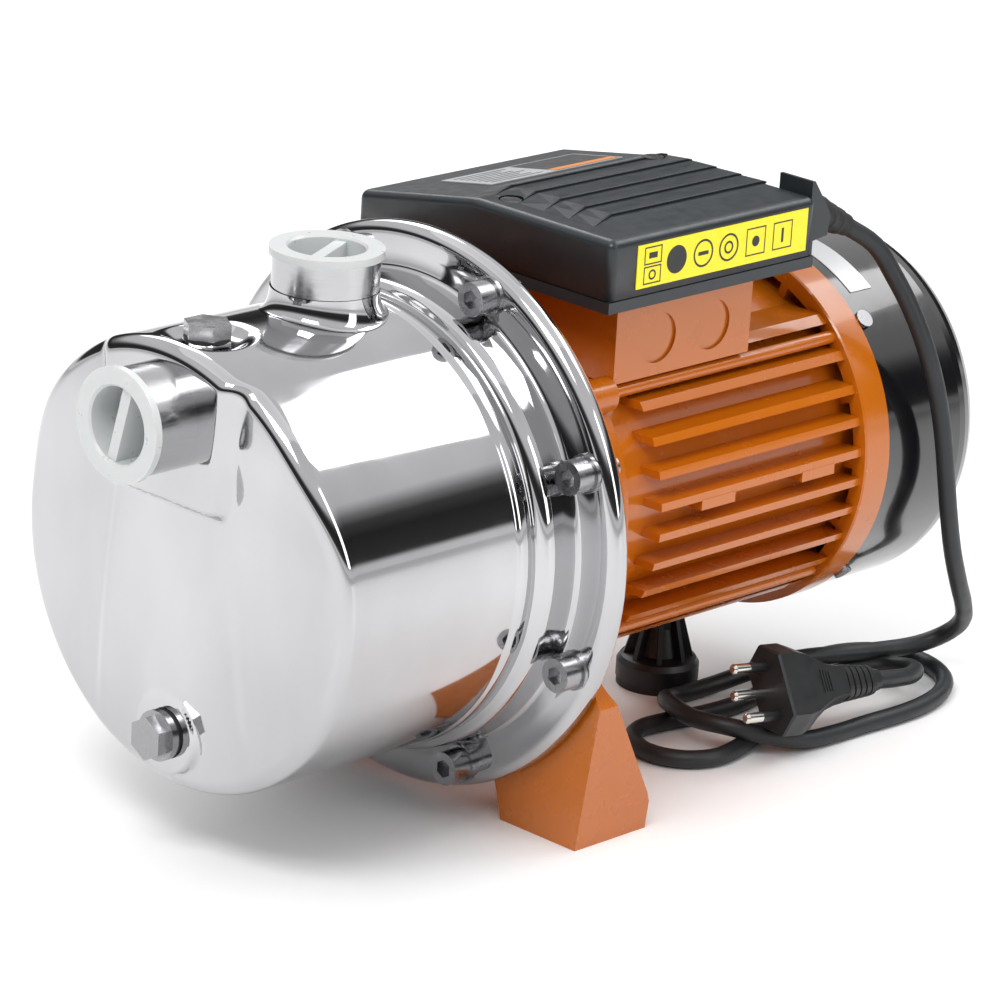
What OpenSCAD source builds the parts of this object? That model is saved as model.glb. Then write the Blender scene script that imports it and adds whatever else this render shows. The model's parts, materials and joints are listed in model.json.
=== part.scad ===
// Shallow well jet pump: pressed steel pump body on a finned electric motor.
// The pump axis runs along X, the suction port faces -X and the fan end +X.
// The feet stand on z = 0. Stations called u are measured along the axis from
// the front of the casing flange, towards the fan.

/* [Stance] */
// Height of the pump axis above the floor
axis_h = 108; // [104:0.5:116]
// Position of the casing flange along X
flange_x = -53; // [-60:1:-40]

/* [Pump casing] */
// Outer radius of the barrel
barrel_r = 82.5; // [78:0.5:84]
// Thickness of the pressed steel
sheet_t = 1.6; // [1.2:0.1:2]
// Distance from the flange to the front rim
barrel_len = 109; // [106:1:114]
// Outer radius of the rolled flange
flange_r = 104; // [103:0.5:106]
// Number of flange bolts
bolt_count = 8; // [6:1:10]
// Radius of the flange bolt circle
bolt_circle_r = 95.2; // [94.5:0.1:96]

/* [Ports] */
// Outer radius of a threaded port socket
socket_r = 19.1; // [18.5:0.1:20]
// Inner radius of a port thread
port_bore_r = 15.15; // [14.5:0.05:15.3]
// Height of the suction port above the pump axis
suction_z = 56.7; // [54:0.1:58]
// Station of the discharge port
discharge_u = -44.8; // [-50:0.1:-42]

/* [Motor] */
// Outer radius of the frame tube under the fins
frame_r = 60; // [59:0.5:61]
// Radius of the fin tips
fin_tip_r = 69; // [67:0.5:69.5]
// Spacing of the fins
fin_pitch = 11.6; // [11:0.1:12]
// Thickness of one fin
fin_t = 3; // [2:0.1:3.4]
// Outer radius of the rear ring
rear_ring_r = 71.4; // [71:0.1:73]
// Outer radius of the fan cover
fan_cover_r = 70.5; // [70:0.1:71]
// Station of the back of the fan cover
fan_cover_end = 246; // [242:1:250]

/* [Terminal box] */
// Half of the width of the box
box_half_w = 64; // [60:0.5:66]
// Station of the front of the box
box_front = 31.9; // [30:0.1:36]
// Station of the back of the box
box_back = 140.5; // [138:0.1:142]

/* [Power cord] */
// Diameter of the cord
cord_d = 7; // [6:0.1:7.4]

/* [Hidden] */
$fn = 96;

// Fits between neighbouring pieces
running = 0.05;
seat = 0.02;

// Casing
rim_r = 8;
rim_front = -barrel_len;
step_r = barrel_r + 4.1;
nose_front = -120;
nose_half_w = 31;
socket_front = -137;
socket_back = -108;
discharge_top = 101.6;
discharge_bottom = 76;
relief_depth = 13.6;
boss_z = 80.4;
pocket_z = 78.6;
priming_u = -99.8;
drain_z = -61.2;
drain_face = -113;
plug_shank_r = 6.5;
plug_washer_t = 1;

// Shaft line
shaft_r = 7.5;
bearing_front_u = 38;
bearing_rear_u = 172;

// Motor
frame_front = 50;
frame_back = 172;
stator_r = 56;
tie_y = 49;
tie_z = 46;
tie_r = 2.5;
pedestal_front = 48;
pedestal_back = 122;
pedestal_half_w = 52;
box_floor = 82.1;
box_seam = 86.8;
foot_u = 158;
foot_y = 13;
foot_top = 40;

// Terminal cover
lid_z = 108.6;
lid_ridge_y = 6;
lid_low_z = 98.4;
lid_wall = 2.4;
lid_slope = atan((lid_z - lid_low_z) / (box_half_w - lid_ridge_y));
screw_places = [[43, -3], [132, 10]];
strip_first_y = 10.4;
strip_back_y = 18;
strip_w = 12.4;
strip_rise = 1.1;
strip_from = 44;
strip_to = 139.5;

// Cord: where it leaves the clamp, and its hand-laid route to the plug
clamp_y = -53;
clamp_z = 99;
clamp_w = 16;
relief_start = [flange_x + 152, clamp_y, axis_h + clamp_z];
relief_tilt = 24;
relief_len = 20;
relief_end = relief_start + relief_len * [cos(relief_tilt), 0, -sin(relief_tilt)];
plug_at = [77, -69, 28];
plug_droop = 9.7;
plug_yaw = 1.7;
plug_lean = 32.3;
plug_len = 64;
plug_tail = plug_at + plug_len * [cos(plug_droop) * cos(plug_yaw),
                                  cos(plug_droop) * sin(plug_yaw), -sin(plug_droop)];
cord_route = [
    relief_end,
    [130.1, -57.6, 190.1], [136.7, -62.4, 178.7], [142.4, -68.2, 164.9], [146.5, -73.5, 150],
    [151, -76.5, 134], [154.5, -78.5, 117], [158, -79, 100], [162.5, -78.5, 83],
    [169.5, -76.5, 66], [180, -72.5, 50], [192, -66.5, 36.5], [202, -58.5, 25.5],
    [204, -49.5, 17], [196, -42, 12], [181, -35.5, 10.9], [165, -29, 10.9],
    [148, -22.5, 10.9], [131.5, -15.5, 8], [116, -10.5, 4.6], [102, -8.8, 3.6],
    [89, -10.5, 4.8], [77.5, -17, 8.6], [69.5, -28, 10.9], [66.5, -41.5, 10.9],
    [70.5, -55, 10.9], [81, -65.5, 8.2], [95, -71, 4.6], [112, -72.5, 3.6],
    [129, -73, 3.6], [146, -74, 3.6], [162, -73.5, 3.6], [178, -69.5, 3.6],
    [192, -60.5, 3.6], [200, -47, 3.6], [200.5, -32, 3.6], [192, -20, 3.6],
    [177.5, -14, 3.6], [160, -14.5, 3.6], [142, -20, 3.6], [124, -26, 3.6],
    [105, -29, 3.6], [87, -28, 3.6], [70, -24.5, 3.6], [55, -24, 3.6],
    [45, -31, 3.6], [41, -42.5, 3.6], [45, -54, 3.6], [55.5, -61, 3.6],
    [69, -60.5, 3.6], [85, -55.5, 3.6], [102, -49, 3.6], [119, -42, 3.6],
    [136, -35.5, 3.6], [153, -30.5, 3.6], [167, -30.5, 4], [178, -37, 5.5],
    [181, -48, 8], [175.5, -58.5, 10.8], [164.5, -65, 13], [152, -67, 15.2],
    plug_tail,
];
cord_sides = 10;

// ---- Helpers -------------------------------------------------------------

// Places children at station u, offset by y and z from the pump axis
module at(u, y = 0, z = 0) {
    translate([flange_x + u, y, axis_h + z]) children();
}

// Solid of revolution about the pump axis from [radius, station] points
module turned(points) {
    at(0) rotate([0, 90, 0]) rotate_extrude() polygon(points);
}

module turned_part(points, from, sweep) {
    at(0) rotate([0, 90, 0]) rotate([0, 0, from])
        rotate_extrude(angle = sweep) polygon(points);
}

module x_rod(r, h) {
    rotate([0, 90, 0]) cylinder(r = r, h = h);
}

module x_tube(outer, inner, h) {
    rotate([0, 90, 0]) difference() {
        cylinder(r = outer, h = h);
        translate([0, 0, -1]) cylinder(r = inner, h = h + 2);
    }
}

// Prism along X from [y, z] points measured from the pump axis
module x_prism(points, from, to) {
    at(from) rotate([90, 0, 90]) linear_extrude(to - from) polygon(points);
}

module x_hex(r, h) {
    rotate([0, 90, 0]) cylinder(r = r, h = h, $fn = 6);
}

// Copies children round the pump axis at radius r
module around(count, r, first = 0) {
    for (i = [0 : count - 1]) {
        a = first + 360 * i / count;
        translate([0, r * cos(a), r * sin(a)]) children();
    }
}

module spun(count, first = 0) {
    for (i = [0 : count - 1])
        rotate([first + 360 * i / count, 0, 0]) children();
}

function arc(cx, cy, r, from, to, n = 6) =
    [for (i = [0 : n]) let (a = from + (to - from) * i / n)
        [cx + r * cos(a), cy + r * sin(a)]];

function unit(v) = v / norm(v);

// ---- Pump casing ---------------------------------------------------------

function casing_outside() = concat(
    [[0, rim_front - 4]],
    arc(barrel_r - rim_r, rim_front + rim_r, rim_r, -90, 0),
    [[barrel_r, -25], [barrel_r + 0.5, -24], [barrel_r + 0.5, -18]],
    arc(barrel_r + 1.1, -14, 3, -90, 0, 4),
    [[step_r, -2], [step_r + 1.4, 0], [flange_r - 3, 0], [flange_r - 1, 0.8],
     [flange_r, 2.6], [flange_r, 6.6], [0, 6.6]]);

function casing_inside() = concat(
    [[0, rim_front - 4 + sheet_t]],
    arc(barrel_r - rim_r, rim_front + rim_r, rim_r - sheet_t, -90, 0),
    [[barrel_r - sheet_t, -25], [barrel_r - sheet_t + 0.5, -24],
     [barrel_r - sheet_t + 0.5, -16.4]],
    arc(barrel_r + 1.1, -13.4, 3 - sheet_t, -90, 0, 4),
    [[step_r - sheet_t, sheet_t], [flange_r - 3, sheet_t], [flange_r - sheet_t, 2.8],
     [flange_r - sheet_t, 7], [0, 7]]);

module nose(inset) {
    w = nose_half_w - inset;
    intersection() {
        x_prism([[-w, 90], [-w, 40], [-w + 12, 12 + inset], [w - 12, 12 + inset],
                 [w, 40], [w, 90]], nose_front + inset, -100);
        at(nose_front) x_rod(barrel_r - inset, 30);
    }
}

module pump_casing() {
    plug_hole_r = plug_shank_r + running;
    color([0.80, 0.80, 0.81]) difference() {
        union() {
            difference() {
                union() {
                    turned(casing_outside());
                    nose(0);
                }
                turned(casing_inside());
                nose(sheet_t);
                at(priming_u, 0, pocket_z) cylinder(r = 11, h = 20);
            }
            at(priming_u, 0, pocket_z - sheet_t) cylinder(r = 12.5, h = sheet_t);
            at(priming_u, 0, pocket_z - sheet_t)
                cylinder(r = 8.7, h = boss_z - pocket_z + sheet_t, $fn = 6);
            at(drain_face, 0, drain_z) x_rod(15, 7);
        }
        at(nose_front - 1, 0, suction_z) x_rod(socket_r + seat, 20);
        at(discharge_u, 0, 60) cylinder(r = socket_r + seat, h = 40);
        at(priming_u, 0, 60) cylinder(r = plug_hole_r, h = 40);
        at(drain_face - 1, 0, drain_z) x_rod(plug_hole_r, 20);
        at(-2) around(bolt_count, bolt_circle_r, 22.5) x_rod(4.3, 6);
    }
}

// Threaded socket standing on z = 0 with its mouth up and a relief groove inside
module socket(len) {
    difference() {
        cylinder(r = socket_r, h = len);
        translate([0, 0, -1]) cylinder(r = port_bore_r, h = len + 2);
        translate([0, 0, len - relief_depth]) cylinder(r = port_bore_r + 1, h = 2);
    }
}

module suction_socket() {
    color([0.72, 0.72, 0.73]) at(socket_back, 0, suction_z) rotate([0, -90, 0])
        socket(socket_back - socket_front);
}

module discharge_socket() {
    color([0.72, 0.72, 0.73]) at(discharge_u, 0, discharge_bottom)
        socket(discharge_top - discharge_bottom);
}

module discharge_saddle() {
    color([0.78, 0.78, 0.79]) difference() {
        at(discharge_u, 0, 70) rotate_extrude() polygon([
            [socket_r + seat, 0], [27, 0], [27, 9.5], [24, 11.5], [21.5, 14.5],
            [20.2, 18.5], [socket_r + seat, 20]]);
        at(-120) x_rod(barrel_r + seat, 140);
        at(-25.02) x_rod(barrel_r + 0.5 + seat, 30);
    }
}

// Hollow screw-in plug with a gripping blade across its mouth
module port_cap() {
    blade_w = 4.4;
    shank_r = port_bore_r - running;
    rotate_extrude() polygon([
        [0, -12], [shank_r, -12], [shank_r, 0.2], [20.4, 0.2], [20.4, 3],
        [14.4, 3], [13.6, 2.2], [13.6, -10.2], [0, -10.2]]);
    translate([-13.7, -blade_w / 2, -10.4]) cube([27.4, blade_w, 11.8]);
}

module suction_cap() {
    color([0.90, 0.91, 0.90]) at(socket_front, 0, suction_z)
        rotate([0, -90, 0]) rotate([0, 0, -15]) port_cap();
}

module discharge_cap() {
    color([0.90, 0.91, 0.90]) at(discharge_u, 0, discharge_top)
        rotate([0, 0, 25]) port_cap();
}

module priming_plug() {
    color([0.66, 0.66, 0.67]) at(priming_u, 0, boss_z) {
        translate([0, 0, plug_washer_t + seat]) cylinder(r = 8.6, h = 5.2, $fn = 6);
        translate([0, 0, -5]) cylinder(r = plug_shank_r, h = 6.2);
    }
}

module flat_washer(outer, inner, t) {
    difference() {
        cylinder(r = outer, h = t);
        translate([0, 0, -1]) cylinder(r = inner, h = t + 2);
    }
}

module priming_washer() {
    color([0.50, 0.50, 0.50]) at(priming_u, 0, boss_z + seat)
        flat_washer(8.2, plug_shank_r + running, plug_washer_t - seat);
}

module drain_plug() {
    color([0.66, 0.66, 0.67]) at(drain_face - plug_washer_t - seat, 0, drain_z) {
        translate([-7.6, 0, 0]) x_hex(8.1, 5.1);
        translate([-2.6, 0, 0]) x_rod(9.2, 2.6);
        translate([-0.1, 0, 0]) x_rod(plug_shank_r, 9);
    }
}

module drain_washer() {
    color([0.50, 0.50, 0.50]) at(drain_face - plug_washer_t, 0, drain_z)
        x_tube(8.9, plug_shank_r + running, plug_washer_t - seat);
}

// ---- Jet assembly inside the casing --------------------------------------

module suction_chamber() {
    color([0.25, 0.25, 0.26]) difference() {
        x_prism([[-17, -17], [17, -17], [17, 68], [-17, 68]], -110, -92);
        x_prism([[-14.5, -14.5], [14.5, -14.5], [14.5, 65.5], [-14.5, 65.5]],
                -107.5, -94.5);
        at(-111, 0, suction_z) x_rod(port_bore_r - 1.5, 5);
        at(-111) x_rod(7, 10);
        at(-98) x_rod(10, 8);
        at(-111, 0, suction_z) x_rod(socket_r + seat, 3.02);
    }
}

module ejector_nozzle() {
    color([0.80, 0.66, 0.30]) turned([
        [5, -110.7], [9, -110.7], [9, -110.02], [6.98, -110.02], [6.98, -104],
        [4.2, -96], [2.6, -96], [5, -106]]);
}

module ejector_venturi() {
    color([0.20, 0.20, 0.21]) turned([
        [7.2, -94.5], [6, -86], [6, -78], [16.4, -44], [19.6, -44], [9.4, -78],
        [9.4, -86], [9.98, -91.9], [9.98, -94.5]]);
}

module diffuser() {
    color([0.22, 0.22, 0.23]) {
        turned([
            [17, -43.98], [20, -43.98], [20, -34], [76, -34], [76, -10], [72, -10],
            [72, -31], [17, -31]]);
        at(-31.2) spun(8, 11) translate([0, 60, 0]) rotate([38, 0, 0])
            cube([19.2, 17, 2.4]);
    }
}

module diffuser_seal_ring() {
    color([0.1, 0.1, 0.1]) at(-20.5) rotate([0, 90, 0]) rotate_extrude()
        translate([78.4, 0]) circle(r = 2.36, $fn = 32);
}

module impeller() {
    color([0.82, 0.68, 0.34]) {
        turned([
            [6, -26], [14, -26], [14, -15], [56, -15], [56, -12.6], [6, -12.6]]);
        turned([
            [16, -30.4], [18, -30.4], [18.4, -26.5], [56, -26.5], [56, -24.6],
            [16, -24.6]]);
        at(-25) spun(6) translate([0, 17, -1]) rotate([32, 0, 0])
            cube([10.2, 38, 2.2]);
    }
}

module impeller_nut() {
    color([0.70, 0.70, 0.71]) at(-32.2) difference() {
        x_hex(7.4, 6);
        translate([-1, 0, 0]) x_rod(4 + seat, 8);
    }
}

module seal_rotating() {
    color([0.18, 0.18, 0.19]) turned([
        [shaft_r, -2], [12.5, -2], [12.5, 3.5], [11, 5.7], [shaft_r, 5.7]]);
}

module seal_bellows() {
    color([0.12, 0.12, 0.12]) turned([
        [shaft_r, -12], [13, -12], [13, -10.4], [11, -9.6], [13, -8], [11, -6.4],
        [13, -4.8], [12.2, -2.02], [shaft_r, -2.02]]);
}

module seal_seat() {
    color([0.93, 0.91, 0.86]) turned([
        [8, 6], [14, 6], [14, 13.98], [8, 13.98]]);
}

module seal_plate() {
    color([0.74, 0.74, 0.75]) difference() {
        turned([
            [14.02, sheet_t + 0.02], [101, sheet_t + 0.02], [101, 3.6], [18, 3.6],
            [18, 16], [8.3, 16], [8.3, 14], [14.02, 14]]);
        at(0) around(bolt_count, bolt_circle_r, 22.5) x_rod(4.3, 6);
    }
}

module casing_o_ring() {
    color([0.1, 0.1, 0.1]) at(0) rotate([0, 90, 0]) rotate_extrude()
        translate([step_r - sheet_t - 1.6, -0.1]) circle(r = 1.5, $fn = 32);
}

module casing_bolts() {
    color([0.62, 0.62, 0.62]) at(0)
        around(bolt_count, bolt_circle_r, 22.5) difference() {
            union() {
                translate([-9.6, 0, 0]) x_rod(6.2, 8);
                translate([-2, 0, 0]) x_rod(3.95, 15);
            }
            translate([-10, 0, 0]) x_hex(3.5, 4.6);
        }
}

module casing_bolt_washers() {
    color([0.45, 0.45, 0.45]) at(-1.58)
        around(bolt_count, bolt_circle_r, 22.5) x_tube(7.1, 4.1, 1.56);
}

// ---- Motor ---------------------------------------------------------------

// One cast foot: its front view cut by its side view
module bracket_leg() {
    intersection() {
        x_prism([[-49, -axis_h], [-86.4, -axis_h], [-94, -52], [-84, -34], [-30, -44],
                 [-35.5, -60]], 8.5, 45.2);
        translate([flange_x, 0, 0]) rotate([90, 0, 0])
            linear_extrude(120) polygon([
                [8.5, 0], [45.1, 0], [44.8, 11], [43, 15], [14, 62], [8.5, 76]]);
    }
}

module motor_bracket() {
    rib_t = 5;
    color([0.86, 0.36, 0.06]) difference() {
        union() {
            turned([
                [61, 3.62], [100, 3.62], [100, 11], [71, 12.5], [66, 18],
                [64, frame_front - 0.02], [20.02, frame_front - 0.02],
                [20.02, bearing_front_u], [25, bearing_front_u], [25, 45], [59, 45]]);
            for (a = [-45 : 45 : 225])
                at(0) rotate([a, 0, 0]) translate([10, 60, -rib_t / 2])
                    linear_extrude(rib_t)
                        polygon([[0, 0], [0, 34], [4, 34], [30, 4], [30, 0]]);
            for (y = [-tie_y, tie_y], z = [-tie_z, tie_z])
                at(34, y, z) x_rod(6.5, frame_front - 34.02);
            bracket_leg();
            mirror([0, 1, 0]) bracket_leg();
        }
        for (y = [-tie_y, tie_y], z = [-tie_z, tie_z]) {
            at(30, y, z) x_rod(tie_r + seat, 30);
            at(29, y, z) x_rod(5.2, 5);
        }
        at(0) around(bolt_count, bolt_circle_r, 22.5) x_rod(3.97, 14);
        at(20, -16, -80) cube([20, 32, 30]);
    }
}

module frame_fins() {
    fins = floor(fin_tip_r / fin_pitch);
    intersection() {
        union() {
            for (i = [-fins : fins - 1])
                at(62, -fin_tip_r, (i + 0.5) * fin_pitch - fin_t / 2)
                    cube([frame_back - 62.02, 2 * fin_tip_r, fin_t]);
        }
        at(frame_front) x_rod(fin_tip_r, 140);
    }
}

module motor_frame() {
    lug_len = 18;
    color([0.86, 0.36, 0.06]) difference() {
        union() {
            at(frame_front) x_rod(frame_r, frame_back - frame_front - 0.02);
            frame_fins();
            at(pedestal_front + 2.02, -pedestal_half_w, 50)
                cube([pedestal_back - pedestal_front - 2.02,
                      2 * pedestal_half_w, box_floor - 50.02]);
            for (u = [83.6, 138.6], side = [-1, 1])
                at(u, side > 0 ? 60 : -fin_tip_r, fin_pitch / 2 - 5.2)
                    cube([lug_len, fin_tip_r - 60, 4]);
            at(foot_u, foot_y, foot_top - axis_h) cylinder(r = 9, h = 14);
        }
        at(frame_front - 1) x_rod(stator_r + seat, 130);
        at(pedestal_front + 7, -pedestal_half_w + 6, 63)
            cube([pedestal_back - pedestal_front - 13, 2 * pedestal_half_w - 12, 30]);
        for (u = [72.2, 101], side = [-1, 1])
            at(u, side * pedestal_half_w, 64) rotate([90, 0, 0])
                cylinder(r = 9.5, h = 2, center = true);
        for (y = [-tie_y, tie_y], z = [-tie_z, tie_z])
            at(frame_front - 1, y, z) x_rod(tie_r + 0.4, 130);
        at(foot_u, foot_y, foot_top - axis_h - 1) cylinder(r = 3, h = 11);
        at(70, 0, 50) cylinder(r = 6, h = 20);
    }
}

module tie_rods() {
    color([0.90, 0.36, 0.08])
        for (y = [-tie_y, tie_y], z = [-tie_z, tie_z]) {
            at(30.5, y, z) x_hex(4.6, 3.4);
            at(33, y, z) x_rod(tie_r, 150);
        }
}

// Ball bearing drawn as one ring with a groove round each side
module bearing(outer, inner, w) {
    mid = (outer + inner) / 2;
    rotate([0, 90, 0]) rotate_extrude() polygon([
        [inner, 0], [mid - 2, 0], [mid - 2, 0.6], [mid + 2, 0.6], [mid + 2, 0],
        [outer, 0], [outer, w], [mid + 2, w], [mid + 2, w - 0.6],
        [mid - 2, w - 0.6], [mid - 2, w], [inner, w]]);
}

module front_bearing() {
    color([0.75, 0.75, 0.76]) at(bearing_front_u) bearing(20, 8.5 + running, 12);
}

module rear_bearing() {
    color([0.75, 0.75, 0.76]) at(bearing_rear_u) bearing(17.5, shaft_r + running, 11);
}

module shaft() {
    color([0.70, 0.71, 0.73]) turned([
        [0, -33], [4, -33], [4, -26], [6, -26], [6, -12.6], [shaft_r, -12.6],
        [shaft_r, 37], [8.5, 37], [8.5, 51], [9.5, 51], [9.5, 170],
        [shaft_r, 170], [shaft_r, 184], [7, 184], [7, 217], [6, 218], [0, 218]]);
}

module rotor_core() {
    color([0.55, 0.56, 0.58]) {
        turned([[9.5, 80], [31.6, 80], [31.6, 150], [9.5, 150]]);
        turned([[17, 74], [30, 74], [30, 80.01], [17, 80.01]]);
        turned([[17, 149.99], [30, 149.99], [30, 156], [17, 156]]);
    }
}

module stator_core() {
    color([0.50, 0.51, 0.53]) at(80) difference() {
        x_tube(stator_r, 32, 70);
        spun(24) translate([-1, 33, -2.1]) cube([72, 14.5, 4.2]);
        spun(24) translate([-1, 31, -1.1]) cube([72, 3, 2.2]);
    }
}

module stator_winding() {
    color([0.72, 0.36, 0.12]) {
        turned([[34, 62], [36, 60], [49, 60], [51, 62], [51, 79.7], [34, 79.7]]);
        turned([[34, 150.3], [51, 150.3], [51, 166], [49, 168], [36, 168], [34, 166]]);
        at(79) spun(24) translate([0, 34.5, -1.9]) cube([72, 12.5, 3.8]);
    }
}

module rear_shield() {
    ring_in = 65;
    color([0.86, 0.36, 0.06]) difference() {
        union() {
            turned([
                [ring_in, frame_back], [rear_ring_r - 0.6, frame_back],
                [rear_ring_r, frame_back + 0.6], [rear_ring_r, 185.4],
                [rear_ring_r - 0.6, 186], [69, 186], [69, 192], [ring_in, 192]]);
            turned([
                [17.5, frame_back], [21, frame_back], [21, 176], [54, 176],
                [54, frame_back], [frame_r, frame_back], [frame_r, 180],
                [21, 180], [21, 184], [9, 184], [9, 183], [17.5, 183]]);
            at(frame_back) spun(16) translate([0, 56, -1.8]) cube([8, 12, 3.6]);
        }
        for (y = [-tie_y, tie_y], z = [-tie_z, tie_z])
            at(170, y, z) x_rod(tie_r + seat, 14);
        at(189) spun(4, 45) rotate([-90, 0, 0]) cylinder(r = 1.6, h = 80);
    }
}

module water_slinger() {
    color([0.08, 0.08, 0.08]) turned([
        [shaft_r, 22], [11, 22], [11, 24], [17, 27], [17, 28.5], [11, 28.5],
        [shaft_r, 28.5]]);
}

module cooling_fan() {
    color([0.12, 0.12, 0.13]) {
        turned([
            [7, 196], [56, 196], [56, 198], [14, 199], [13, 214], [7, 214]]);
        at(197) spun(7) translate([0, 12, -1]) cube([20, 47, 2]);
    }
}

module fan_clip() {
    color([0.3, 0.3, 0.3]) turned([[7, 214.2], [9.4, 214.2], [9.4, 215.4], [7, 215.4]]);
}

module fan_cover() {
    wall = 1.3;
    corner = 18;
    color([0.06, 0.06, 0.07]) difference() {
        turned(concat(
            [[fan_cover_r - wall, 186.2], [fan_cover_r, 186.2]],
            arc(fan_cover_r - corner, fan_cover_end - corner, corner, 0, 90, 8),
            [[0, fan_cover_end], [0, fan_cover_end - wall]],
            arc(fan_cover_r - corner, fan_cover_end - corner, corner - wall, 90, 0, 8)));
        for (row = [0 : 2])
            at(fan_cover_end - 4) spun(12 + 4 * row, 7 * row)
                translate([0, 14 + 13 * row, -2]) cube([6, 9, 4]);
        at(189) spun(4, 45) rotate([-90, 0, 0]) cylinder(r = 1.9, h = 80);
    }
}

module fan_cover_screws() {
    color([0.35, 0.35, 0.36]) at(189) spun(4, 45) rotate([-90, 0, 0]) {
        translate([0, 0, fan_cover_r + 0.02]) cylinder(r = 3.6, h = 1.7);
        translate([0, 0, 65]) cylinder(r = 1.55, h = 5.6);
    }
}

module fan_cover_label() {
    color([0.75, 0.75, 0.76]) turned_part([
        [fan_cover_r + seat, 192], [fan_cover_r + 0.3, 192],
        [fan_cover_r + 0.3, 204], [fan_cover_r + seat, 204]], 187, 28);
}

// ---- Rear support foot ---------------------------------------------------

module motor_foot() {
    color([0.07, 0.07, 0.08]) at(foot_u, foot_y, -axis_h) difference() {
        union() {
            rotate_extrude() polygon([
                [0, 3], [16.2, 3], [16.2, 9.5], [14.8, 11.6], [9.5, 13], [6.8, 24],
                [6.8, foot_top], [0, foot_top]]);
            for (i = [0 : 7])
                rotate([0, 0, 45 * i]) rotate([90, 0, 0])
                    translate([0, 0, -1]) linear_extrude(2)
                        polygon([[5, 10], [13.6, 12], [8.4, 30], [8.4, foot_top - 0.5],
                                 [5, foot_top - 0.5]]);
        }
        cylinder(r = 5.2, h = 10);
        cylinder(r = 3.1, h = 60);
    }
}

module motor_foot_pad() {
    color([0.04, 0.04, 0.04]) at(foot_u, foot_y, -axis_h)
        flat_washer(15.8, 5.2, 2.98);
}

module motor_foot_screw() {
    color([0.6, 0.6, 0.6]) at(foot_u, foot_y, -axis_h) {
        translate([0, 0, 5]) cylinder(r = 4.8, h = 4.98);
        translate([0, 0, 9]) cylinder(r = 2.95, h = 40);
    }
}

// ---- Terminal box --------------------------------------------------------

module box_ring(inset, wall, from, to) {
    len = box_back - box_front;
    at(box_front + inset, -box_half_w + inset, from) difference() {
        cube([len - 2 * inset, 2 * (box_half_w - inset), to - from]);
        translate([wall, wall, -1])
            cube([len - 2 * (inset + wall), 2 * (box_half_w - inset - wall),
                  to - from + 2]);
    }
}

module terminal_base() {
    color([0.17, 0.19, 0.20]) difference() {
        union() {
            box_ring(0, lid_wall, box_floor, box_seam - 0.5);
            at(box_front + 1, -box_half_w + 1, box_floor)
                cube([box_back - box_front - 2, 2 * box_half_w - 2, 2.2]);
            for (p = screw_places)
                at(p[0], p[1], box_floor) cylinder(r = 4.5, h = 21);
            at(box_back - 1, clamp_y - clamp_w / 2, box_floor) cube([3.6, clamp_w, 4.2]);
            at(box_back + 0.3, clamp_y - clamp_w / 2, box_floor + 4)
                cube([2.3, clamp_w, 0.7]);
        }
        at(56, -42, box_floor - 1) cube([58, 84, 6]);
        for (p = screw_places)
            at(p[0], p[1], box_floor + 6) cylinder(r = 2, h = 20);
    }
}

module terminal_gasket() {
    color([0.05, 0.05, 0.05]) box_ring(0.8, 1.8, box_seam - 0.48, box_seam - 0.02);
}

function lid_outline(inset) = [
    [-box_half_w + inset, box_seam - (inset > 0 ? 1 : 0)],
    [-box_half_w + inset, lid_z - 2 - inset * 0.6],
    [-box_half_w + 2 + inset * 0.6, lid_z - inset],
    [lid_ridge_y, lid_z - inset],
    [box_half_w - 2 - inset, lid_low_z + 0.35 - inset],
    [box_half_w - inset, lid_low_z - 2 - inset],
    [box_half_w - inset, box_seam - (inset > 0 ? 1 : 0)],
];

// Raised strips along the flat of the lid, each with a slanted start
function lid_top(y) = lid_z - max(0, y - lid_ridge_y) * tan(lid_slope);

// Low steps along the lid, each highest at its -Y edge and slanted at its start
module lid_strips() {
    for (i = [0 : 4]) {
        low = strip_first_y - i * strip_w;
        high = min(low + strip_w, strip_back_y);
        intersection() {
            x_prism([[low, lid_top(low) + strip_rise], [high, lid_top(high)],
                     [high, lid_top(high) - 1], [low, lid_top(low) - 1]],
                    strip_from, strip_to);
            at(0, low, lid_z - 6) linear_extrude(9)
                polygon([[strip_from, 0], [strip_from + strip_w, strip_w],
                         [strip_to, strip_w], [strip_to, 0]]);
        }
    }
}

module terminal_cover() {
    color([0.17, 0.19, 0.20]) difference() {
        union() {
            x_prism(lid_outline(0), box_front, box_back);
            lid_strips();
            for (p = screw_places)
                at(p[0], p[1], lid_z - 2.1) cylinder(r = 6.4, h = 2.1);
        }
        x_prism(lid_outline(lid_wall), box_front + lid_wall, box_back - lid_wall);
        for (p = screw_places) {
            at(p[0], p[1], lid_z - 1.4) cylinder(r = 4.6, h = 10);
            at(p[0], p[1], lid_z - 10) cylinder(r = 2.4, h = 20);
        }
        at(box_back - 4, clamp_y - 5, box_seam - 1) cube([6, 10, 18]);
    }
}

module cover_screws() {
    color([0.12, 0.12, 0.12]) for (p = screw_places) {
        at(p[0], p[1], lid_z - 1.38) cylinder(r = 3.9, h = 1.2);
        at(p[0], p[1], lid_z - 14) cylinder(r = 1.8, h = 13);
    }
}

module safety_label() {
    color([0.98, 0.86, 0.05]) at(45, -box_half_w - 0.32, 89.3)
        cube([90.5, 0.3, 16]);
}

module rating_label() {
    color([0.62, 0.63, 0.64]) at(58, lid_ridge_y, lid_z + 0.02)
        rotate([-lid_slope, 0, 0]) translate([0, 16, 0]) cube([70, 26, 0.3]);
}

module capacitor() {
    color([0.85, 0.85, 0.83]) at(57, 18, 80.6) {
        x_rod(17, 52);
        translate([52, -4, -3]) cube([4.5, 1.2, 6]);
        translate([52, 4, -3]) cube([4.5, 1.2, 6]);
    }
}

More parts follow.
